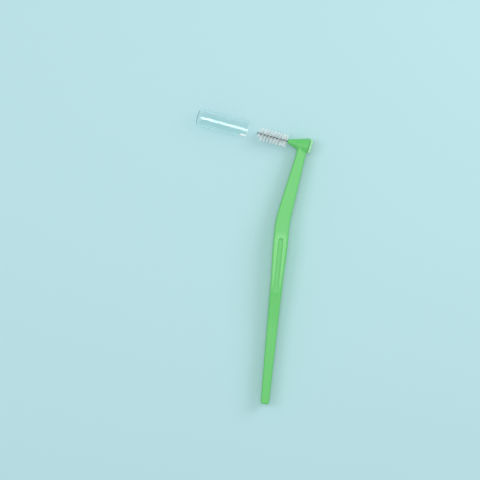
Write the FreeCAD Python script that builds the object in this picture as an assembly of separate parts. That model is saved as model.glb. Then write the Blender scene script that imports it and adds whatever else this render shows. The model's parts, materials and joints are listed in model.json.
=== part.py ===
import FreeCAD, Part
import math
import os

# Angled interdental brush with its protective cap taken off, in millimetres.
# Origin: centre of the nose tip, where the wire comes out.
# X runs along the wire from the bristles into the head, Y up the neck, Z up from the table.

Vector = FreeCAD.Vector
x_axis = Vector(1, 0, 0)
y_axis = Vector(0, 1, 0)
z_axis = Vector(0, 0, 1)

# Wire: one strand, folded at the tip, twisted on itself and hooked down behind the head.
strand_diameter = 0.26
twist_pitch = 2.40
twist_ease = 1.20
stem_length = 11.80
hook_bend_radius = 0.45
hook_length = 1.60

# Bristles: straight filaments caught between the two halves of the wire.
bristle_diameter = 5.00
filament_diameter = 0.10
filament_spacing = 0.12
filament_clearance = 0.03
bare_root = 0.40
bare_tip = 0.60

# Protective cap: a tube closed at the front, with a notch that straddles the neck.
cap_clearance = 0.45
cap_wall = 0.40
cap_end_room = 0.40
cap_end_radius = 1.50
cap_fit = 0.06
cap_notch_clearance = 0.30
cap_rest_gap = 3.50

# Head: a cone round the wire, with a flat back and a blended throat.
nose_tip_radius = 0.75
nose_half_angle = 18.0
head_seat_step = 0.28
head_rim_radius = 0.30
throat_radius = 1.50
bore_clearance = 0.04
bore_flare = 0.60

# Lock strip: closes the slot behind the head and traps the hooked ends of the wire.
strip_thickness = 0.85
strip_width = 3.20
strip_inset = 0.25
strip_drop = 2.10
strip_ledge = 0.60
strip_reveal = 0.60
strip_edge_radius = 0.20
slot_clearance = 0.07
peg_radius = 0.28
peg_length = 2.20
peg_rise = 1.35
peg_clearance = 0.02

# Handle: places along the bent centreline, measured from the wire axis, and the sizes there.
neck_lean = 0.2
shoulder_bend = 9.9
neck_back_inset = 0.15
neck_slim_end = 8.0
neck_taper_end = 20.5
shoulder_place = 28.7
grip_start = 33.0
grip_end = 39.0
waist_place = 50.0
swell_end = 54.0
swell_fade = 66.0
handle_length = 96.4
neck_top_width = 3.20
neck_low_width = 4.80
shoulder_width = 5.25
grip_width = 5.40
waist_width = 4.45
tail_end_width = 3.05
neck_thickness = 4.00
neck_low_thickness = 4.90
tail_thickness = 4.50
tail_end_thickness = 3.50
shoulder_radius = 30.0
blend_radius = 100.0
profile_radius = 60.0
tail_end_radius = 0.90
tail_end_flat = 0.10
edge_radius = 0.60

# Thumb groove in both flats of the grip.
groove_radius = 1.10
groove_depth = 0.42
groove_start = 36.0
groove_length = 18.3
groove_rim_radius = 0.45

# Sizes that follow from the driving dimensions.
strand_radius = strand_diameter / 2
strand_offset = strand_radius + filament_diameter / 2 + filament_clearance
core_radius = strand_offset + strand_radius
bore_radius = core_radius + bore_clearance
slot_width = strand_diameter + 2 * slot_clearance
cap_bore_radius = bristle_diameter / 2 + cap_clearance
cap_radius = cap_bore_radius + cap_wall
grip_thickness = 2 * cap_radius
nose_slope = math.tan(math.radians(nose_half_angle))
head_radius = cap_bore_radius + head_seat_step
head_depth = (head_radius - nose_tip_radius) / nose_slope
cap_seat = (cap_bore_radius - cap_fit - nose_tip_radius) / nose_slope
cap_depth = cap_seat + stem_length + cap_end_room
cap_travel = cap_seat + stem_length + cap_rest_gap
neck_setback = head_depth - neck_back_inset - neck_top_width / 2
strip_inner = head_depth + slot_width
peg_spread = bore_radius + peg_radius
hook_x = head_depth + slot_width / 2
twist_start = hook_x - hook_bend_radius
twist_length = twist_start + stem_length - core_radius
tail_round = min(tail_end_radius, (tail_end_width - tail_end_flat) / 2)
far = 2 * handle_length

# Directions that differ by less than this count as one.
least_turn = 1e-6


# Direction in the XY plane, in degrees from straight down towards +X.
def heading(angle):
    turn = math.radians(angle)
    return Vector(math.sin(turn), -math.cos(turn), 0)


neck_heading = heading(-neck_lean)
tail_heading = heading(shoulder_bend - neck_lean)
shoulder_heading = heading(shoulder_bend / 2 - neck_lean)
neck_root = x_axis * neck_setback
shoulder_apex = neck_root + neck_heading * shoulder_place


# Point at a distance along the handle's centreline, shifted sideways towards its back.
def beside(distance, shift):
    past = distance - shoulder_place
    direction = shoulder_heading
    if past < 0:
        direction = neck_heading
    if past > 0:
        direction = tail_heading
    along = neck_heading if past < 0 else tail_heading
    return shoulder_apex + along * past + z_axis.cross(direction) * shift


# Closed wire through corners given as (point, radius), with a tangent arc at each round corner.
def rounded_outline(corners):
    count = len(corners)
    bends = []
    for index in range(count):
        point, radius = corners[index]
        towards_last = (corners[index - 1][0] - point).normalize()
        towards_next = (corners[(index + 1) % count][0] - point).normalize()
        half_angle = towards_last.getAngle(towards_next) / 2
        inward = (towards_last + towards_next).normalize()
        run = radius / math.tan(half_angle)
        middle = point + inward * (radius / math.sin(half_angle) - radius)
        bends.append((point + towards_last * run, middle, point + towards_next * run))
    edges = []
    for index in range(count):
        start, middle, end = bends[index]
        if corners[index][1] > 0:
            edges.append(Part.Arc(start, middle, end).toShape())
        edges.append(Part.LineSegment(end, bends[(index + 1) % count][0]).toShape())
    return Part.Wire(edges)


def cylinder(radius, start, end):
    return Part.makeCylinder(radius, (end - start).Length, start, end - start)


# Solid between two levels of an outline, along a direction square to it.
def prism(outline, direction, low, high):
    solid = Part.Face(outline).extrude(direction * (high - low))
    solid.translate(direction * low)
    return solid


def faces_up_or_down(face):
    u_low, u_high, v_low, v_high = face.ParameterRange
    return abs(face.normalAt((u_low + u_high) / 2, (v_low + v_high) / 2).z) > 0.5


# Neck, shoulder, grip and tail: the outline seen from above, cut to the profile seen from the side.
def handle_bar():
    widths = [
        (0, neck_top_width, 0),
        (neck_taper_end, neck_low_width, blend_radius),
        (shoulder_place, shoulder_width, shoulder_radius),
        (grip_end, grip_width, blend_radius),
        (waist_place, waist_width, blend_radius),
        (handle_length, tail_end_width, tail_round),
    ]
    back = [(beside(place, width / 2), radius) for place, width, radius in widths]
    front = [(beside(place, -width / 2), radius) for place, width, radius in reversed(widths)]
    seen_from_above = rounded_outline(back + front)

    thicknesses = [
        (-head_radius, neck_thickness, 0),
        (neck_slim_end, neck_thickness, blend_radius),
        (neck_taper_end, neck_low_thickness, profile_radius),
        (grip_start, grip_thickness, profile_radius),
        (swell_end, grip_thickness, profile_radius),
        (swell_fade, tail_thickness, profile_radius),
        (handle_length + tail_end_width, tail_end_thickness, 0),
    ]
    levels = [(beside(place, 0).y, thickness / 2, radius) for place, thickness, radius in thicknesses]
    top = [(Vector(0, level, half), radius) for level, half, radius in levels]
    bottom = [(Vector(0, level, -half), radius) for level, half, radius in reversed(levels)]
    seen_from_side = rounded_outline(top + bottom)

    bar = prism(seen_from_above, z_axis, -grip_thickness / 2, grip_thickness / 2)
    bar = bar.common(prism(seen_from_side, x_axis, -far, far))
    long_edges = []
    for edge in bar.Edges:
        sides = bar.ancestorsOfType(edge, Part.Face)
        if faces_up_or_down(sides[0]) != faces_up_or_down(sides[1]) and edge.BoundBox.YMin < -edge_radius:
            long_edges.append(edge)
    return bar.makeFillet(edge_radius, long_edges)


def peg_centres():
    return [(rise, spread) for rise in (peg_rise, -peg_rise) for spread in (peg_spread, -peg_spread)]


# Handle: the bar with the conical head, bored for the wire and the pegs, grooved for the thumb.
def handle():
    cone = Part.makeCone(nose_tip_radius, head_radius, head_depth, Vector(0, 0, 0), x_axis)
    rim = [edge for edge in cone.Edges if edge.BoundBox.XMin > head_depth - head_rim_radius]
    head = cone.makeFillet(head_rim_radius, rim)
    solid = head.fuse(handle_bar())

    throat = []
    for edge in solid.Edges:
        sides = solid.ancestorsOfType(edge, Part.Face)
        on_cone = [side for side in sides if side.Surface.TypeId == "Part::GeomCone"]
        if len(on_cone) == 1 and len(sides) == 2 and edge.CenterOfMass.y < -nose_tip_radius:
            throat.append(edge)
    solid = solid.makeFillet(throat_radius, throat)

    back = x_axis * head_depth
    flare_start = head_depth - bore_flare
    cuts = [cylinder(bore_radius, x_axis * -nose_tip_radius, back)]
    cuts.append(Part.makeCone(bore_radius, bore_radius + bore_flare, bore_flare, x_axis * flare_start, x_axis))
    for rise, spread in peg_centres():
        seat = back + Vector(0, rise, spread)
        cuts.append(cylinder(peg_radius + peg_clearance, seat - x_axis * (peg_length + peg_clearance), seat))
    for side in (1, -1):
        lift = z_axis * side * (grip_thickness / 2 + groove_radius - groove_depth)
        start = beside(groove_start, 0) + lift
        end = beside(groove_start + groove_length, 0) + lift
        cuts.append(cylinder(groove_radius, start, end))
        cuts.append(Part.makeSphere(groove_radius, start))
        cuts.append(Part.makeSphere(groove_radius, end))
    for cut in cuts:
        solid = solid.cut(cut)

    rims = []
    for edge in solid.Edges:
        sides = solid.ancestorsOfType(edge, Part.Face)
        in_groove = [side for side in sides if getattr(side.Surface, "Radius", 0) == groove_radius]
        if len(in_groove) == 1:
            rims.append(edge)
    return solid.makeFillet(groove_rim_radius, rims)


# Slice of a disc behind the head, between two depths, above a level and of a given width.
def disc_slice(start, end, level, width):
    disc = cylinder(head_radius - strip_inset, x_axis * start, x_axis * end)
    return disc.common(Part.makeBox(far, far, width, Vector(0, level, -width / 2)))


# Lock strip: a plate, a narrower land that seats on the head's back, a ledge at the top and four pegs.
# The land leaves a pocket for the hooked ends of the wire, and a slit along both sides of the plate.
def wire_lock_strip():
    outer = strip_inner + strip_thickness
    plate = disc_slice(strip_inner, outer, -strip_drop, strip_width)
    outer_edges = [edge for edge in plate.Edges if edge.BoundBox.XMin > outer - strip_edge_radius]
    plate = plate.makeFillet(strip_edge_radius, outer_edges)
    ledge_level = head_radius - strip_inset - strip_ledge
    ledge = disc_slice(head_depth, strip_inner, ledge_level, strip_width)
    land = disc_slice(head_depth, strip_inner, -strip_drop, strip_width - 2 * strip_reveal)
    pocket_corner = Vector(head_depth, -strip_drop, -bore_radius)
    land = land.cut(Part.makeBox(slot_width, strip_drop + bore_radius, 2 * bore_radius, pocket_corner))
    pieces = [ledge, land]
    for rise, spread in peg_centres():
        root = Vector(strip_inner, rise, spread)
        pieces.append(cylinder(peg_radius, root - x_axis * (slot_width + peg_length), root))
    return plate.fuse(pieces).removeSplitter()


# Angle turned by the twist, and its rate, at a distance from the back: it eases in and out.
def twist(distance):
    rate = 2 * math.pi / twist_pitch
    left = twist_length - distance
    if distance < twist_ease:
        return rate * distance ** 2 / (2 * twist_ease), rate * distance / twist_ease
    if left < twist_ease:
        whole = rate * (twist_length - twist_ease)
        return whole - rate * left ** 2 / (2 * twist_ease), rate * left / twist_ease
    return rate * (distance - twist_ease / 2), rate


# Point and direction on one half of the wire, going towards the tip.
def on_strand(distance, phase):
    turned, rate = twist(distance)
    angle = math.pi / 2 + phase + turned
    point = Vector(twist_start - distance, strand_offset * math.cos(angle), strand_offset * math.sin(angle))
    swing = strand_offset * rate
    return point, Vector(-1, -swing * math.sin(angle), swing * math.cos(angle)).normalize()


# Arc from a point in a given direction to another point.
def arc_to(start, direction, end):
    chord = end - start
    along = Vector(chord).normalize()
    sideways = direction - along * direction.dot(along)
    if sideways.Length < least_turn:
        return Part.LineSegment(start, end).toShape()
    rise = chord.Length / 2 * math.tan(direction.getAngle(along) / 2)
    middle = (start + end) / 2 + sideways.normalize() * rise
    return Part.Arc(start, middle, end).toShape()


# Two tangent arcs between two points with given directions.
def biarc(start, start_direction, end, end_direction):
    span = end - start
    total = start_direction + end_direction
    spread = 2 * (1 - start_direction.dot(end_direction))
    across = span.dot(total)
    reach = span.dot(span) / (across + math.sqrt(across ** 2 + spread * span.dot(span)))
    joint = (start + end + (start_direction - end_direction) * reach) / 2
    joint_direction = (joint - start) * 2 - start_direction * reach
    return [arc_to(start, start_direction, joint), arc_to(joint, joint_direction.normalize(), end)]


# Core wire: up one hook, along the twist to the fold at the tip, back along the twist and down.
def core_wire():
    quarter_turns = math.ceil(4 * twist_length / twist_pitch)
    distances = [twist_length * index / quarter_turns for index in range(quarter_turns + 1)]
    out = [on_strand(distance, 0) for distance in distances]
    home = [(point, -direction) for point, direction in
            [on_strand(distance, math.pi) for distance in reversed(distances)]]

    bend_middle = hook_bend_radius * (1 - math.cos(math.pi / 4))
    hooks = []
    for side in (1, -1):
        foot = Vector(hook_x, -hook_bend_radius - hook_length, side * strand_offset)
        knee = Vector(hook_x, -hook_bend_radius, side * strand_offset)
        middle = Vector(hook_x - bend_middle, -bend_middle, side * strand_offset)
        hooks.append((foot, knee, middle, Vector(twist_start, 0, side * strand_offset)))

    foot, knee, middle, mouth = hooks[0]
    edges = [Part.LineSegment(foot, knee).toShape(), Part.Arc(knee, middle, mouth).toShape()]
    for (start, start_direction), (end, end_direction) in zip(out, out[1:]):
        edges += biarc(start, start_direction, end, end_direction)
    fold = Vector(twist_start - twist_length - strand_offset, 0, 0)
    edges.append(Part.Arc(out[-1][0], fold, home[0][0]).toShape())
    for (start, start_direction), (end, end_direction) in zip(home, home[1:]):
        edges += biarc(start, start_direction, end, end_direction)
    foot, knee, middle, mouth = hooks[1]
    edges += [Part.Arc(mouth, middle, knee).toShape(), Part.LineSegment(knee, foot).toShape()]

    path = Part.Wire(edges)
    section = Part.Wire(Part.makeCircle(strand_radius, hooks[0][0], y_axis))
    pipe = Part.BRepOffsetAPI.MakePipeShell(path)
    pipe.add(section)
    pipe.build()
    pipe.makeSolid()
    solid = pipe.shape()
    ideal = math.pi * strand_radius ** 2 * path.Length
    print("core_wire volume over section times length:", round(solid.Volume / ideal, 4))
    print("core_wire least gap between its halves:", round(2 * (strand_offset - strand_radius), 3))
    return solid


# Bristles: a row of filaments that turns with the twist, each square to the two strands beside it.
def bristles():
    count = int((stem_length - bare_root - bare_tip) / filament_spacing) + 1
    filaments = []
    for index in range(count):
        centre = x_axis * -(bare_root + index * filament_spacing)
        turned = twist(twist_start - centre.x)[0]
        reach = Vector(0, math.cos(turned), math.sin(turned)) * (-bristle_diameter / 2)
        filaments.append(cylinder(filament_diameter / 2, centre - reach, centre + reach))
    print("bristles:", count, "filaments")
    return Part.makeCompound(filaments)


# Protective cap: shaped where it seats on the cone, then pulled off along the wire to its rest place.
def protective_cap():
    mouth = x_axis * cap_seat
    inner_end = mouth - x_axis * cap_depth
    outer_end = inner_end - x_axis * cap_wall
    shells = []
    for radius, end, end_radius in (
        (cap_radius, outer_end, cap_end_radius),
        (cap_bore_radius, inner_end, cap_end_radius - cap_wall),
    ):
        tube = cylinder(radius, end, mouth)
        end_edges = [edge for edge in tube.Edges if edge.BoundBox.XMax < end.x + end_radius]
        shells.append(tube.makeFillet(end_radius, end_edges))
    outside, inside = shells

    neck_front = neck_setback - neck_top_width / 2
    notch_front = neck_front - cap_notch_clearance
    notch_half = neck_thickness / 2 + cap_notch_clearance
    notch_radius = edge_radius + cap_notch_clearance
    notch_end = cap_seat + cap_wall
    notch = rounded_outline([
        (Vector(notch_front, 0, -notch_half), notch_radius),
        (Vector(notch_front, 0, notch_half), notch_radius),
        (Vector(notch_end, 0, notch_half), 0),
        (Vector(notch_end, 0, -notch_half), 0),
    ])
    solid = outside.cut(inside).cut(prism(notch, y_axis, -far, 0))
    solid.translate(x_axis * -cap_travel)
    return solid


os.makedirs("parts", exist_ok=True)
for make in (handle, wire_lock_strip, core_wire, bristles, protective_cap):
    shape = make()
    shape.exportStep("parts/" + make.__name__ + ".step")
    print(make.__name__, "valid:", shape.isValid(), "solids:", len(shape.Solids), "mm3:", round(shape.Volume, 3))
print("cap travel:", round(cap_travel, 3), "seat:", round(cap_seat, 3), "head depth:", round(head_depth, 3))
print("grip half thickness:", round(grip_thickness / 2, 3), "tail end:", beside(handle_length, 0))
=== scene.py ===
import bmesh
import bpy
import json
import math
from mathutils import Matrix, Vector


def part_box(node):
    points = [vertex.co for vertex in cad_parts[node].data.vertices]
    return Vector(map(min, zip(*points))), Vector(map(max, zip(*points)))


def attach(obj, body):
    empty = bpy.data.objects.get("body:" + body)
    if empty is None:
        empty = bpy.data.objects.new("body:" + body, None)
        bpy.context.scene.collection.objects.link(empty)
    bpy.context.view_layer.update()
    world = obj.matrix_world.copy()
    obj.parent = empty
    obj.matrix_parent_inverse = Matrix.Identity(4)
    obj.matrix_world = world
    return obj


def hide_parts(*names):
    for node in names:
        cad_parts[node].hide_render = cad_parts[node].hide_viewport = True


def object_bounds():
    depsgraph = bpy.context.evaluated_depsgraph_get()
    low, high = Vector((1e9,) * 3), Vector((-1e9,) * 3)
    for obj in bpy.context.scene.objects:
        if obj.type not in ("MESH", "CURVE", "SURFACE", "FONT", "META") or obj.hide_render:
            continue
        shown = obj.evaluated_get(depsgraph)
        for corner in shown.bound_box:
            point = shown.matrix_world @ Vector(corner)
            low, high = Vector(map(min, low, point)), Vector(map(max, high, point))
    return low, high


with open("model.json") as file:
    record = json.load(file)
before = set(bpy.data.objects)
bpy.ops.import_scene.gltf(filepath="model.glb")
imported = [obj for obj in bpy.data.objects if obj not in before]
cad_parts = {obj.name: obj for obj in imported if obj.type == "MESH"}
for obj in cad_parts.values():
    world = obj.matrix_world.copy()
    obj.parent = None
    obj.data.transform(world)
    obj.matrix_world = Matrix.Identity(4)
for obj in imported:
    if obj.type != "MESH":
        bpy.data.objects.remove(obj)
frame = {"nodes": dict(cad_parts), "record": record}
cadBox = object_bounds()
scene = bpy.context.scene
scene.view_settings.view_transform = "Standard"
mm = 0.001
print("frame:", ", ".join(sorted(frame["nodes"])))


def addObject(name, data):
    thing = bpy.data.objects.new(name, data)
    scene.collection.objects.link(thing)
    return thing


# camera at the photo's viewing angle: straight down on the brush as it lies on its grip
photo = {
    "side": 480,  # pixels each way
    "nosePixel": (288.0, 141.4),  # where the wire leaves the head
    "pixelSize": 0.368 * mm,  # at the height of the wire
    "turn": math.radians(15.3),  # rows of the photo against the wire
    "distance": 600 * mm,
    "sensor": 36.0,
}
photoTurn = Matrix.Rotation(photo["turn"], 4, "Z")


def setCamera():
    data = bpy.data.cameras.new("photoCamera")
    data.sensor_width = photo["sensor"]
    data.lens = photo["sensor"] * photo["distance"] / (photo["side"] * photo["pixelSize"])
    column, row = photo["nosePixel"]
    middle = photo["side"] / 2
    centre = photoTurn @ Vector((middle - column, row - middle, 0)) * photo["pixelSize"]
    camera = addObject("photoCamera", data)
    camera.matrix_world = Matrix.Translation(centre + Vector((0, 0, photo["distance"]))) @ photoTurn
    scene.camera = camera
    return centre


aim = setCamera()
print("camera set")


# sRGB hex to the linear colour that the shaders take
def linear(hexColour):
    shares = [int(hexColour[place:place + 2], 16) / 255 for place in (1, 3, 5)]
    return [s / 12.92 if s <= 0.04045 else ((s + 0.055) / 1.055) ** 2.4 for s in shares] + [1.0]


# sockets of a node: a value, or a link where the value is another node's output
def fillSockets(tree, node, inputs):
    for socket, value in inputs.items():
        if isinstance(value, bpy.types.NodeSocket):
            tree.links.new(value, node.inputs[socket])
        else:
            node.inputs[socket].default_value = value


# one node with its settings, its values and its links
def addNode(tree, kind, inputs=None, **settings):
    node = tree.nodes.new(kind)
    for name, value in settings.items():
        setattr(node, name, value)
    fillSockets(tree, node, inputs or {})
    return node


def startMaterial(name):
    material = bpy.data.materials.new(name)
    material.use_nodes = True
    return material, material.node_tree, material.node_tree.nodes["Principled BSDF"]


# lets some kinds of ray straight through a clear plastic, tinted, so that what lies behind stays lit
def passLight(tree, shader, tint, rays):
    path = addNode(tree, "ShaderNodeLightPath")
    through = addNode(tree, "ShaderNodeBsdfTransparent", {"Color": linear(tint)})
    surface = shader.outputs[0]
    for ray in rays:
        mixed = addNode(tree, "ShaderNodeMixShader",
                        {0: path.outputs[ray], 1: surface, 2: through.outputs[0]})
        surface = mixed.outputs[0]
    tree.links.new(surface, tree.nodes["Material Output"].inputs["Surface"])


# pale cool table under a soft sky, a key lamp from the upper right of the photo,
# a softbox overhead and a fill lamp from the left
studio = {
    "floorColour": "#B8DCE1",
    "floorSize": 4.0,
    "floorRoughness": 0.9,
    "floorShine": 0.1,
    "skyColour": "#F6FBFB",
    "skyStrength": 0.56,
    "lamps": [  # name, place right and up of the aim and height in mm, size in mm, watts
        ("keyLamp", (420, 210, 320), 320, 1.05),
        ("overheadLamp", (-20, 70, 680), 280, 1.0),
        ("fillLamp", (-380, 80, 520), 300, 0.8),
    ],
}


def buildStudio():
    world = bpy.data.worlds.new("studioSky")
    world.use_nodes = True
    scene.world = world
    sky = world.node_tree.nodes["Background"]
    sky.inputs["Color"].default_value = linear(studio["skyColour"])
    sky.inputs["Strength"].default_value = studio["skyStrength"]

    half = studio["floorSize"] / 2
    square = ((-half, -half), (half, -half), (half, half), (-half, half))
    mesh = bpy.data.meshes.new("floor")
    mesh.from_pydata([(x, y, cadBox[0].z) for x, y in square], [], [(0, 1, 2, 3)])
    floor = addObject("floor", mesh)
    paper, tree, shader = startMaterial("matt_pale_floor")
    fillSockets(tree, shader, {
        "Base Color": linear(studio["floorColour"]),
        "Roughness": studio["floorRoughness"],
        "Specular IOR Level": studio["floorShine"],
    })
    mesh.materials.append(paper)

    for name, place, size, watts in studio["lamps"]:
        data = bpy.data.lights.new(name, "AREA")
        data.size = size * mm
        data.energy = watts
        spot = aim + photoTurn @ Vector(place) * mm
        facing = (aim - spot).to_track_quat("-Z", "Y").to_matrix().to_4x4()
        addObject(name, data).matrix_world = Matrix.Translation(spot) @ facing


buildStudio()
print("studio lit")

noiseLow, noiseHigh = 0.3, 0.7  # most of a noise texture's values lie between these

# injection-moulded polypropylene: waxy semi-gloss with faint flow streaks, a fine eroded grain,
# a low parting line round the sides, and a matt panel in each groove between smoother flats,
# the panel painted a lighter green to offset the shade in the groove
polypropylene = {
    "colour": "#5FC566",
    "paleColour": "#6CCB72",
    # painted light: the groove's panel is painted a lighter green to offset its shade
    "panelPaintedLightColour": "#72CC78",
    "stripPaintedLightColour": "#90DA9D",  # painted light: the same plastic painted paler, as if lit from the right
    "stripPaintedLightPaleColour": "#9CDFA7",
    "ior": 1.49,
    "roughness": (0.30, 0.40),
    "waxy": 0.2,  # share of light that spreads under the surface
    "waxySpread": (0.35, 1.0, 0.4),  # green goes furthest
    "waxyDepth": 0.8 * mm,
    "streakWidth": 5.0 * mm,
    "streakStretch": 0.18,
    "streakDetail": 3.0,
    "grain": 0.22 * mm,  # real grain is near 0.05 mm, drawn coarser so that it shows
    "grainDepth": 0.004 * mm,
    "grainDetail": 2.0,
    "seamHalfWidth": 0.07 * mm,
    "seamHeight": 0.03 * mm,
    "panelTurn": math.radians(9.7),  # grip against the model's Y
    "panelEnds": (-10.3 * mm, 8.0 * mm),  # centres of its round ends, up the grip from its mount
    "panelRoughness": 0.50,
    "panelHalfWidth": 0.62 * mm,
    "panelEdge": 0.45 * mm,  # fades out over this
    "rubbedRoughness": 0.20,  # flats beside the groove, polished by handling
    "rubbedHalfWidth": 1.30 * mm,
    "rubbedEdge": 2.40 * mm,
}


def mouldedPolypropylene(name, baseColour, paleColour):
    resin = polypropylene
    material, tree, shader = startMaterial(name)
    place = addNode(tree, "ShaderNodeTexCoord").outputs["Object"]
    along = addNode(tree, "ShaderNodeMapping",
                    {"Vector": place, "Scale": (1, resin["streakStretch"], 1)})
    streaks = addNode(tree, "ShaderNodeTexNoise", {
        "Vector": along.outputs[0], "Scale": 1 / resin["streakWidth"],
        "Detail": resin["streakDetail"]}).outputs["Fac"]
    colour = addNode(tree, "ShaderNodeMix", {
        0: streaks, 6: linear(baseColour), 7: linear(paleColour)}, data_type="RGBA")
    low, high = resin["roughness"]
    gloss = addNode(tree, "ShaderNodeMapRange",
                    {0: streaks, 1: noiseLow, 2: noiseHigh, 3: low, 4: high})

    # distance to the line between the round ends of the groove
    grip = [mount for mount in frame["record"]["mounts"] if mount["name"] == "hand_grip"][0]
    local = addNode(tree, "ShaderNodeMapping", {
        "Vector": place, "Location": grip["pos_m"], "Rotation": (0, 0, resin["panelTurn"])},
        vector_type="TEXTURE")
    local = addNode(tree, "ShaderNodeSeparateXYZ", {0: local.outputs[0]})
    lowEnd, highEnd = resin["panelEnds"]
    nearest = addNode(tree, "ShaderNodeClamp", {0: local.outputs[1], 1: lowEnd, 2: highEnd})
    beyond = addNode(tree, "ShaderNodeMath", {0: local.outputs[1], 1: nearest.outputs[0]},
                     operation="SUBTRACT")
    away = addNode(tree, "ShaderNodeCombineXYZ", {0: local.outputs[0], 1: beyond.outputs[0]})
    away = addNode(tree, "ShaderNodeVectorMath", {0: away.outputs[0]}, operation="LENGTH")

    # smoother flats first, then the matt panel in the groove, whose mask also paints the groove lighter:
    # painted light that offsets its shade
    for part in ("rubbed", "panel"):
        half = resin[part + "HalfWidth"]
        glossAndPaintedLightMask = addNode(tree, "ShaderNodeMapRange", {
            0: away.outputs["Value"], 1: half + resin[part + "Edge"], 2: half},
            interpolation_type="SMOOTHSTEP")
        gloss = addNode(tree, "ShaderNodeMix", {
            0: glossAndPaintedLightMask.outputs[0], 2: gloss.outputs[0], 3: resin[part + "Roughness"]})
    colour = addNode(tree, "ShaderNodeMix", {
        0: glossAndPaintedLightMask.outputs[0], 6: colour.outputs[2], 7: linear(resin["panelPaintedLightColour"])},
        data_type="RGBA")

    # heights in metres: fine grain all over and a ridge at the middle of the thickness
    grain = addNode(tree, "ShaderNodeTexNoise", {
        "Vector": place, "Scale": 1 / resin["grain"], "Detail": resin["grainDetail"]})
    level = addNode(tree, "ShaderNodeSeparateXYZ", {0: place})
    level = addNode(tree, "ShaderNodeMath", {0: level.outputs[2]}, operation="ABSOLUTE")
    seam = addNode(tree, "ShaderNodeMapRange", {
        0: level.outputs[0], 1: resin["seamHalfWidth"], 2: 0.0, 4: resin["seamHeight"]},
        interpolation_type="SMOOTHSTEP")
    height = addNode(tree, "ShaderNodeMath", {
        0: grain.outputs["Fac"], 1: resin["grainDepth"], 2: seam.outputs[0]},
        operation="MULTIPLY_ADD")
    bump = addNode(tree, "ShaderNodeBump",
                   {"Strength": 1.0, "Distance": 1.0, "Height": height.outputs[0]})
    fillSockets(tree, shader, {
        "Base Color": colour.outputs[2],
        "Roughness": gloss.outputs[0],
        "Normal": bump.outputs[0],
        "IOR": resin["ior"],
        "Subsurface Weight": resin["waxy"],
        "Subsurface Radius": resin["waxySpread"],
        "Subsurface Scale": resin["waxyDepth"],
    })
    return material


# drawn stainless wire: dark polished metal with fine streaks along each strand
steel = {
    "colour": "#7C8789",
    "darkColour": "#4F595B",
    "roughness": (0.22, 0.36),
    "streakLength": 2.5 * mm,
    "streaksAround": 9,  # real die lines are finer, drawn this coarse so that they show
    "streakDetail": 2.0,
}


def drawnStainlessSteel():
    material, tree, shader = startMaterial("drawn_stainless_steel")
    along = addNode(tree, "ShaderNodeAttribute", attribute_name="alongWire")
    around = addNode(tree, "ShaderNodeAttribute", attribute_name="aroundWire")
    place = addNode(tree, "ShaderNodeCombineXYZ", {0: along.outputs["Fac"], 1: around.outputs["Fac"]})
    stretched = addNode(tree, "ShaderNodeMapping", {
        "Vector": place.outputs[0], "Scale": (1 / steel["streakLength"], steel["streaksAround"], 1)})
    streaks = addNode(tree, "ShaderNodeTexNoise", {
        "Vector": stretched.outputs[0], "Scale": 1.0,
        "Detail": steel["streakDetail"]}).outputs["Fac"]
    colour = addNode(tree, "ShaderNodeMix", {
        0: streaks, 6: linear(steel["darkColour"]), 7: linear(steel["colour"])}, data_type="RGBA")
    low, high = steel["roughness"]
    gloss = addNode(tree, "ShaderNodeMapRange",
                    {0: streaks, 1: noiseLow, 2: noiseHigh, 3: low, 4: high})
    fillSockets(tree, shader, {
        "Base Color": colour.outputs[2],
        "Roughness": gloss.outputs[0],
        "Metallic": 1.0,
    })
    return material


# extruded nylon filament: milky and half clear, each one a little lighter or darker than the next
nylon = {
    "colour": "#FFFFFF",
    "dullColour": "#EAF4F5",
    "shadowTint": "#D4E0E1",  # light that a lamp sends through one filament
    "ior": 1.53,
    "roughness": 0.35,
    "milky": 0.6,
    "milkySpread": (1.0, 1.0, 1.0),
    "milkyDepth": 0.3 * mm,
}


def extrudedNylon():
    material, tree, shader = startMaterial("extruded_nylon_filament")
    tone = addNode(tree, "ShaderNodeAttribute", attribute_name="filamentTone")
    colour = addNode(tree, "ShaderNodeMix", {
        0: tone.outputs["Fac"], 6: linear(nylon["dullColour"]), 7: linear(nylon["colour"])},
        data_type="RGBA")
    fillSockets(tree, shader, {
        "Base Color": colour.outputs[2],
        "Roughness": nylon["roughness"],
        "IOR": nylon["ior"],
        "Subsurface Weight": nylon["milky"],
        "Subsurface Radius": nylon["milkySpread"],
        "Subsurface Scale": nylon["milkyDepth"],
    })
    passLight(tree, shader, nylon["shadowTint"], ["Is Shadow Ray"])
    return material


# clear moulded polystyrene: bright edges, a faint cool tint and slow ripples from the mould
polystyrene = {
    "colour": "#FAFEFE",
    "shadowTint": "#F4FAFA",  # light that a lamp sends through one wall
    "ior": 1.49,
    "roughness": (0.03, 0.08),
    "clear": 1.0,
    "rimRoughness": (0.35, 0.45),  # painted highlight: rough and half clear so that the mouth shows white, as light that runs along the wall would
    "rimClear": 0.35,
    "ripple": 2.5 * mm,
    "rippleDepth": 0.02 * mm,
    "rippleStrength": 0.4,
    "rippleDetail": 1.0,
}


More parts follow.
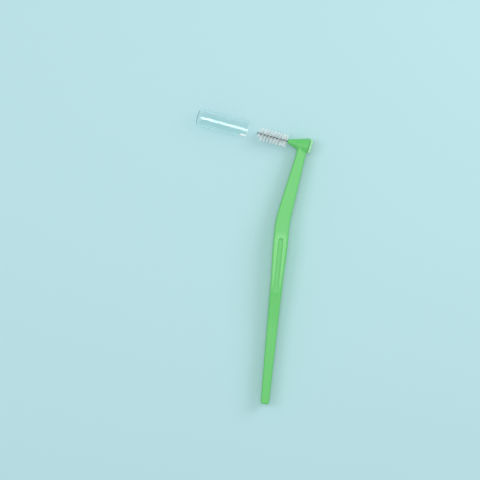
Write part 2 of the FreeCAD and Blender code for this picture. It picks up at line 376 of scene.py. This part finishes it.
def clearPolystyrene(name, roughness, clear):
    material, tree, shader = startMaterial(name)
    place = addNode(tree, "ShaderNodeTexCoord").outputs["Object"]
    ripple = addNode(tree, "ShaderNodeTexNoise", {
        "Vector": place, "Scale": 1 / polystyrene["ripple"],
        "Detail": polystyrene["rippleDetail"]}).outputs["Fac"]
    bump = addNode(tree, "ShaderNodeBump", {
        "Strength": polystyrene["rippleStrength"], "Distance": polystyrene["rippleDepth"],
        "Height": ripple})
    low, high = roughness
    gloss = addNode(tree, "ShaderNodeMapRange",
                    {0: ripple, 1: noiseLow, 2: noiseHigh, 3: low, 4: high})
    fillSockets(tree, shader, {
        "Base Color": linear(polystyrene["colour"]),
        "Roughness": gloss.outputs[0],
        "Normal": bump.outputs[0],
        "IOR": polystyrene["ior"],
        "Transmission Weight": clear,
    })
    passLight(tree, shader, polystyrene["shadowTint"], ["Is Diffuse Ray", "Is Shadow Ray"])
    return material


greenPlastic = mouldedPolypropylene(
    "moulded_green_polypropylene", polypropylene["colour"], polypropylene["paleColour"])
# the strip's copy of the same plastic, painted paler: painted light
stripPaintedLightPlastic = mouldedPolypropylene(
    "painted_light_green_polypropylene", polypropylene["stripPaintedLightColour"], polypropylene["stripPaintedLightPaleColour"])
wireSteel = drawnStainlessSteel()
bristleNylon = extrudedNylon()
clearPlastic = clearPolystyrene(
    "clear_moulded_polystyrene", polystyrene["roughness"], polystyrene["clear"])
# the mouth's lip, made rough and half clear so that it shows white: a painted highlight
rimPaintedHighlightPlastic = clearPolystyrene(
    "painted_highlight_polystyrene_rim", polystyrene["rimRoughness"], polystyrene["rimClear"])
for node, material in (("handle", greenPlastic), ("wire_lock_strip", stripPaintedLightPlastic)):
    frame["nodes"][node].material_slots[0].material = material
print("materials made")


# node tree with named inputs, given as name: (socket type, value)
def startTree(name, inputs):
    tree = bpy.data.node_groups.new(name, "GeometryNodeTree")
    tree.interface.new_socket("Geometry", in_out="INPUT", socket_type="NodeSocketGeometry")
    for label, (kind, _) in inputs.items():
        tree.interface.new_socket(label, in_out="INPUT", socket_type=kind)
    tree.interface.new_socket("Geometry", in_out="OUTPUT", socket_type="NodeSocketGeometry")
    return tree, addNode(tree, "NodeGroupInput").outputs


# ends a tree: real geometry in one material
def endTree(tree, geometry, material):
    whole = addNode(tree, "GeometryNodeRealizeInstances", {0: geometry})
    finish = addNode(tree, "GeometryNodeSetMaterial", {0: whole.outputs[0], 2: material})
    addNode(tree, "NodeGroupOutput", {0: finish.outputs[0]})


# runs a tree on a base mesh and keeps what it makes as one plain mesh
def growPiece(name, tree, inputs, base):
    source = addObject(name + "Source", base)
    modifier = source.modifiers.new(name, "NODES")
    modifier.node_group = tree
    for item in tree.interface.items_tree:
        if item.name in inputs:
            modifier[item.identifier] = inputs[item.name][1]
    made = source.evaluated_get(bpy.context.evaluated_depsgraph_get())
    mesh = bpy.data.meshes.new_from_object(made)
    mesh.name = name
    bpy.data.objects.remove(source)
    print(name + ":", len(mesh.polygons), "faces")
    return addObject(name, mesh)


# core wire: one strand up a hook, along the twist, round the fold at the tip and back again
wire = {
    "strandRadius": 0.13 * mm,
    "strandOffset": 0.21 * mm,  # strand's centre from the axis of the twist
    "twistPitch": 2.40 * mm,
    "twistEase": 1.20 * mm,  # where the twist starts and stops
    "hookBend": 0.45 * mm,
    "hookLength": 1.60 * mm,
    "pointsPerTurn": 28,
    "bendPoints": 10,  # round the fold and round each hook
    "sides": 14,
}
wireLow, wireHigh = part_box("core_wire")
hookPlace = wireHigh.x - wire["strandRadius"]
twistStart = hookPlace - wire["hookBend"]
twistLength = twistStart - wireLow.x - wire["strandOffset"] - wire["strandRadius"]
twistRate = 2 * math.pi / wire["twistPitch"]


# angle that the twist has turned through: it eases in at the hooks and out at the fold
def twistAngle(distance):
    ease = wire["twistEase"]
    start = max(0, ease - distance)
    end = max(0, ease - twistLength + distance)
    return twistRate * (distance - ease / 2 + (start ** 2 - end ** 2) / (2 * ease))


def strandPoints(phase):
    steps = math.ceil(twistLength / wire["twistPitch"] * wire["pointsPerTurn"])
    points = []
    for step in range(steps + 1):
        distance = twistLength * step / steps
        angle = math.pi / 2 + phase + twistAngle(distance)
        across = Vector((0, math.cos(angle), math.sin(angle))) * wire["strandOffset"]
        points.append(across + Vector((twistStart - distance, 0, 0)))
    return points


def hookPoints(side):
    bend, steps = wire["hookBend"], wire["bendPoints"]
    centre = Vector((twistStart, -bend, side * wire["strandOffset"]))
    points = [centre + Vector((bend, -wire["hookLength"], 0))]
    for step in range(steps):
        angle = math.pi / 2 * step / steps
        points.append(centre + Vector((math.cos(angle), math.sin(angle), 0)) * bend)
    return points


def foldPoints(last):
    steps = wire["bendPoints"]
    axis = Vector((last.x, 0, 0))
    points = []
    for step in range(1, steps):
        angle = math.pi * step / steps
        reach = Vector((-math.sin(angle) * wire["strandOffset"], 0, 0))
        points.append(axis + (last - axis) * math.cos(angle) + reach)
    return points


def buildWire():
    out, home = strandPoints(0), strandPoints(math.pi)
    points = hookPoints(1) + out + foldPoints(out[-1]) + home[::-1] + hookPoints(-1)[::-1]
    path = bpy.data.meshes.new("wirePath")
    path.from_pydata(points, [(place, place + 1) for place in range(len(points) - 1)], [])

    inputs = {
        "Strand Radius": ("NodeSocketFloat", wire["strandRadius"]),
        "Sides": ("NodeSocketInt", wire["sides"]),
        "Steel": ("NodeSocketMaterial", wireSteel),
    }
    tree, given = startTree("sweptWire", inputs)
    line = addNode(tree, "GeometryNodeMeshToCurve", {0: given["Geometry"]})
    length = addNode(tree, "GeometryNodeSplineParameter")
    line = addNode(tree, "GeometryNodeStoreNamedAttribute",
                   {0: line.outputs[0], 2: "alongWire", 3: length.outputs["Length"]})
    ring = addNode(tree, "GeometryNodeCurvePrimitiveCircle",
                   {0: given["Sides"], 4: given["Strand Radius"]})
    turnShare = addNode(tree, "GeometryNodeSplineParameter")
    ring = addNode(tree, "GeometryNodeStoreNamedAttribute",
                   {0: ring.outputs[0], 2: "aroundWire", 3: turnShare.outputs["Factor"]})
    tube = addNode(tree, "GeometryNodeCurveToMesh",
                   {0: line.outputs[0], 1: ring.outputs[0], 3: True})
    smooth = addNode(tree, "GeometryNodeSetShadeSmooth", {0: tube.outputs[0]})
    endTree(tree, smooth.outputs[0], given["Steel"])
    piece = growPiece("twistedWire", tree, inputs, path)
    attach(piece, "brush")
    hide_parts("core_wire")


buildWire()

# bristles: half filaments that leave the wire both ways and turn with its twist
bristles = {
    "rows": 560,
    "halfLength": 2.48 * mm,
    "filamentRadius": 0.042 * mm,
    "bow": 0.16 * mm,  # how far a filament bends off straight at its end
    "fan": math.radians(26),  # strays this far about the twist
    "lean": math.radians(5),  # strays this far along the wire
    "uneven": 0.05,  # share of the length that the trim varies by
    "seed": 7,
    "sides": 6,
    "points": 5,  # along a half filament
}


def buildBristles():
    low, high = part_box("bristles")
    zone = high.x - low.x - 2 * bristles["filamentRadius"]
    inputs = {
        "Rows": ("NodeSocketInt", bristles["rows"]),
        "Start": ("NodeSocketVector", (high.x - bristles["filamentRadius"], 0, 0)),
        "Step": ("NodeSocketVector", (-zone / (bristles["rows"] - 1), 0, 0)),
        "Half Length": ("NodeSocketFloat", bristles["halfLength"]),
        "Filament Radius": ("NodeSocketFloat", bristles["filamentRadius"]),
        "Bow": ("NodeSocketFloat", bristles["bow"]),
        "Fan": ("NodeSocketFloat", bristles["fan"]),
        "Lean": ("NodeSocketFloat", bristles["lean"]),
        "Uneven": ("NodeSocketFloat", bristles["uneven"]),
        "Seed": ("NodeSocketInt", bristles["seed"]),
        "Nylon": ("NodeSocketMaterial", bristleNylon),
    }
    tree, given = startTree("bristleRows", inputs)
    row = addNode(tree, "GeometryNodeMeshLine", {0: given["Rows"], 2: given["Start"], 3: given["Step"]})
    ends = addNode(tree, "GeometryNodeDuplicateElements", {0: row.outputs[0], 2: 2}, domain="POINT")

    # twist at each filament, eased out at the fold as the wire's is
    place = addNode(tree, "GeometryNodeInputPosition")
    place = addNode(tree, "ShaderNodeSeparateXYZ", {0: place.outputs[0]})
    ease = wire["twistEase"]
    distance = addNode(tree, "ShaderNodeMath", {0: twistStart, 1: place.outputs[0]},
                       operation="SUBTRACT")
    late = addNode(tree, "ShaderNodeMath", {0: distance.outputs[0], 1: twistLength - ease},
                   operation="SUBTRACT")
    late = addNode(tree, "ShaderNodeMath", {0: late.outputs[0], 1: 0.0}, operation="MAXIMUM")
    late = addNode(tree, "ShaderNodeMath", {0: late.outputs[0], 1: late.outputs[0]},
                   operation="MULTIPLY")
    eased = addNode(tree, "ShaderNodeMath", {0: late.outputs[0], 1: 0.5 / ease},
                    operation="MULTIPLY")
    eased = addNode(tree, "ShaderNodeMath", {0: distance.outputs[0], 1: eased.outputs[0]},
                    operation="SUBTRACT")
    eased = addNode(tree, "ShaderNodeMath", {0: eased.outputs[0], 1: ease / 2},
                    operation="SUBTRACT")
    turned = addNode(tree, "ShaderNodeMath", {0: eased.outputs[0], 1: twistRate},
                     operation="MULTIPLY")
    opposite = addNode(tree, "ShaderNodeMath", {0: ends.outputs["Duplicate Index"], 1: math.pi},
                       operation="MULTIPLY")
    turned = addNode(tree, "ShaderNodeMath", {0: turned.outputs[0], 1: opposite.outputs[0]},
                     operation="ADD")

    # one stray value for each end, from the seed and a number of its own
    stray = {}
    for number, label in enumerate(("fan", "lean", "roll", "trim", "tone")):
        seed = addNode(tree, "ShaderNodeMath", {0: given["Seed"], 1: float(number)},
                       operation="ADD")
        chance = addNode(tree, "FunctionNodeRandomValue", {2: -1.0, 3: 1.0, 8: seed.outputs[0]})
        stray[label] = chance.outputs[1]
    for label, reach in (("fan", given["Fan"]), ("lean", given["Lean"]), ("roll", math.pi),
                         ("trim", given["Uneven"])):
        scaled = addNode(tree, "ShaderNodeMath", {0: stray[label], 1: reach}, operation="MULTIPLY")
        stray[label] = scaled.outputs[0]
    turned = addNode(tree, "ShaderNodeMath", {0: turned.outputs[0], 1: stray["fan"]},
                     operation="ADD")
    length = addNode(tree, "ShaderNodeMath", {0: 1.0, 1: stray["trim"]}, operation="ADD")
    length = addNode(tree, "ShaderNodeMath", {0: length.outputs[0], 1: 1.0}, operation="MINIMUM")
    length = addNode(tree, "ShaderNodeMath", {0: length.outputs[0], 1: given["Half Length"]},
                     operation="MULTIPLY")
    aimed = addNode(tree, "FunctionNodeAxisAngleToRotation", {0: (1, 0, 0), 1: turned.outputs[0]})
    for axis, label in (((0, 0, 1), "lean"), ((0, 1, 0), "roll")):
        turn = addNode(tree, "FunctionNodeAxisAngleToRotation", {0: axis, 1: stray[label]})
        aimed = addNode(tree, "FunctionNodeRotateRotation",
                        {0: aimed.outputs[0], 1: turn.outputs[0]}, rotation_space="LOCAL")
    scale = addNode(tree, "ShaderNodeCombineXYZ", {0: 1.0, 1: length.outputs[0], 2: 1.0})

    # one half filament, a unit long, bowed towards its end
    line = addNode(tree, "GeometryNodeCurvePrimitiveLine", {0: (0, 0, 0), 1: (0, 1, 0)})
    line = addNode(tree, "GeometryNodeResampleCurve", {0: line.outputs[0], 2: bristles["points"]})
    share = addNode(tree, "GeometryNodeSplineParameter")
    bowed = addNode(tree, "ShaderNodeMath", {0: share.outputs["Factor"], 1: 2.0}, operation="POWER")
    bowed = addNode(tree, "ShaderNodeMath", {0: bowed.outputs[0], 1: given["Bow"]},
                    operation="MULTIPLY")
    offset = addNode(tree, "ShaderNodeCombineXYZ", {0: bowed.outputs[0]})
    line = addNode(tree, "GeometryNodeSetPosition", {0: line.outputs[0], 3: offset.outputs[0]})
    ring = addNode(tree, "GeometryNodeCurvePrimitiveCircle",
                   {0: bristles["sides"], 4: given["Filament Radius"]})
    hair = addNode(tree, "GeometryNodeCurveToMesh",
                   {0: line.outputs[0], 1: ring.outputs[0], 3: True})
    hair = addNode(tree, "GeometryNodeSetShadeSmooth", {0: hair.outputs[0]})

    placed = addNode(tree, "GeometryNodeInstanceOnPoints", {
        0: ends.outputs[0], 2: hair.outputs[0], 5: aimed.outputs[0], 6: scale.outputs[0]})
    toned = addNode(tree, "ShaderNodeMapRange", {0: stray["tone"], 1: -1.0, 2: 1.0})
    placed = addNode(tree, "GeometryNodeStoreNamedAttribute", {
        0: placed.outputs[0], 2: "filamentTone", 3: toned.outputs[0]}, domain="INSTANCE")
    endTree(tree, placed.outputs[0], given["Nylon"])
    piece = growPiece("bristleRows", tree, inputs, bpy.data.meshes.new("bristleBase"))
    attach(piece, "brush")
    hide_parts("bristles")


buildBristles()

# clear cap: a moulded tube, closed at the front, with a rounded lip and a notch for the neck
cap = {
    "wall": 0.40 * mm,
    "endRadius": 1.50 * mm,
    "notchDepth": 2.60 * mm,
    "notchHalfWidth": 2.30 * mm,
    "notchRadius": 0.90 * mm,
    "prongRadius": 0.25 * mm,  # corner between the notch and the mouth
    "lipRound": 0.12 * mm,
    "runIn": 1.2 * mm,  # straight rings start this far behind the notch
    "runInCrowd": 1.5,  # draws the first rows towards the lip
    # how finely each stretch is divided
    "notchSteps": 5,
    "cornerSteps": 8,
    "lipSteps": 28,
    "runInRings": 8,
    "straightRings": 16,
    "endRings": 10,
    "flatRings": 5,
    "lipSegments": 3,
}


# mouth at one radius, set back from the cut edge, as (x, angle from the notch's middle,
# angle on the ring behind)
def mouthEdge(radius, mouth, setBack):
    depth, half = cap["notchDepth"], cap["notchHalfWidth"]
    corner, prong = cap["notchRadius"], cap["prongRadius"]
    steps = cap["notchSteps"]
    turns = [math.pi / 2 * step / cap["cornerSteps"] for step in range(cap["cornerSteps"] + 1)]
    front = mouth - depth
    side = depth - corner - prong
    notch = [(front - setBack, (half - corner) * step / steps) for step in range(steps)]
    for turn in turns:
        notch.append((front + corner - (corner + setBack) * math.cos(turn),
                      half - corner + (corner + setBack) * math.sin(turn)))
    for step in range(1, steps):
        notch.append((front + corner + side * step / steps, half + setBack))
    for turn in turns:
        notch.append((mouth - prong + (prong - setBack) * math.sin(turn),
                      half + prong - (prong - setBack) * math.cos(turn)))
    line = [(x, math.asin(z / radius)) for x, z in notch]
    lipAngle = line[-1][1]
    for step in range(1, cap["lipSteps"] + 1):
        line.append((mouth - setBack, lipAngle + (math.pi - lipAngle) * step / cap["lipSteps"]))

    # even steps on the ring up to the notch's corner and beyond it, so that no row folds back
    bend, last = steps + cap["cornerSteps"], len(line) - 1
    sideAngle = line[bend][1]
    edge = []
    for place, (x, angle) in enumerate(line):
        ring = sideAngle * place / bend
        if place > bend:
            ring = sideAngle + (math.pi - sideAngle) * (place - bend) / (last - bend)
        edge.append((x, angle, ring))
    mirrored = [(x, -angle, -ring) for x, angle, ring in edge[-2:0:-1]]
    return edge + mirrored


def capRow(bm, ring):
    return [bm.verts.new((x, -radius * math.cos(angle), radius * math.sin(angle)))
            for x, radius, angle in ring]


def joinRows(bm, first, second, materialIndex=0):
    count = len(first)
    for place in range(count):
        after = (place + 1) % count
        face = bm.faces.new((first[place], first[after], second[after], second[place]))
        face.material_index = materialIndex


# one wall from the mouth to the pole of the closed end, and its first row is given back
def capWall(bm, radius, end, endRadius, mouth):
    edge = mouthEdge(radius, mouth, cap["lipRound"])
    ringStart = mouth - cap["notchDepth"] - cap["runIn"]
    rows = []
    for step in range(cap["runInRings"] + 1):
        share = (step / cap["runInRings"]) ** cap["runInCrowd"]
        rows.append([(x + (ringStart - x) * share, radius, angle + (ring - angle) * share)
                     for x, angle, ring in edge])

    rings = []  # x and radius
    straight = ringStart - end - endRadius
    for step in range(1, cap["straightRings"] + 1):
        rings.append((ringStart - straight * step / cap["straightRings"], radius))
    for step in range(1, cap["endRings"] + 1):
        turn = math.pi / 2 * step / cap["endRings"]
        rings.append((end + endRadius * (1 - math.sin(turn)), radius - endRadius * (1 - math.cos(turn))))
    for step in range(1, cap["flatRings"]):
        rings.append((end, (radius - endRadius) * (1 - step / cap["flatRings"])))
    for x, ringRadius in rings:
        rows.append([(x, ringRadius, ring) for _, _, ring in edge])

    built = [capRow(bm, row) for row in rows]
    for first, second in zip(built, built[1:]):
        joinRows(bm, first, second)
    pole = bm.verts.new((end, 0, 0))
    last = built[-1]
    for place in range(len(last)):
        bm.faces.new((last[place], last[(place + 1) % len(last)], pole))
    return built[0]


# rounded lip from the outer wall to the inner one, in the material with the painted highlight
def capLip(bm, outer, inner, radius, mouth):
    rounding, segments = cap["lipRound"], cap["lipSegments"]
    turns = [math.pi / 2 * step / segments for step in range(1, segments + 1)]
    rings = [(radius - rounding * (1 - math.cos(turn)), turn) for turn in turns]
    innerRadius = radius - cap["wall"]
    rings += [(innerRadius + rounding * (1 - math.cos(turn)), turn) for turn in reversed(turns)]
    rows = [outer]
    for ringRadius, turn in rings:
        edge = mouthEdge(ringRadius, mouth, rounding * (1 - math.sin(turn)))
        rows.append(capRow(bm, [(x, ringRadius, angle) for x, angle, _ in edge]))
    rows.append(inner)
    for first, second in zip(rows, rows[1:]):
        joinRows(bm, first, second, 1)


def buildCap():
    low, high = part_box("protective_cap")
    wall, endRadius = cap["wall"], cap["endRadius"]
    bm = bmesh.new()
    outer = capWall(bm, high.z, low.x, endRadius, high.x)
    inner = capWall(bm, high.z - wall, low.x + wall, endRadius - wall, high.x)
    capLip(bm, outer, inner, high.z, high.x)
    bmesh.ops.recalc_face_normals(bm, faces=bm.faces)
    for face in bm.faces:
        face.smooth = True
    mesh = bpy.data.meshes.new("clearCap")
    bm.to_mesh(mesh)
    bm.free()
    for material in (clearPlastic, rimPaintedHighlightPlastic):
        mesh.materials.append(material)
    print("clearCap:", len(mesh.polygons), "faces")
    piece = addObject("clearCap", mesh)
    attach(piece, "cap")
    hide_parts("protective_cap")


buildCap()
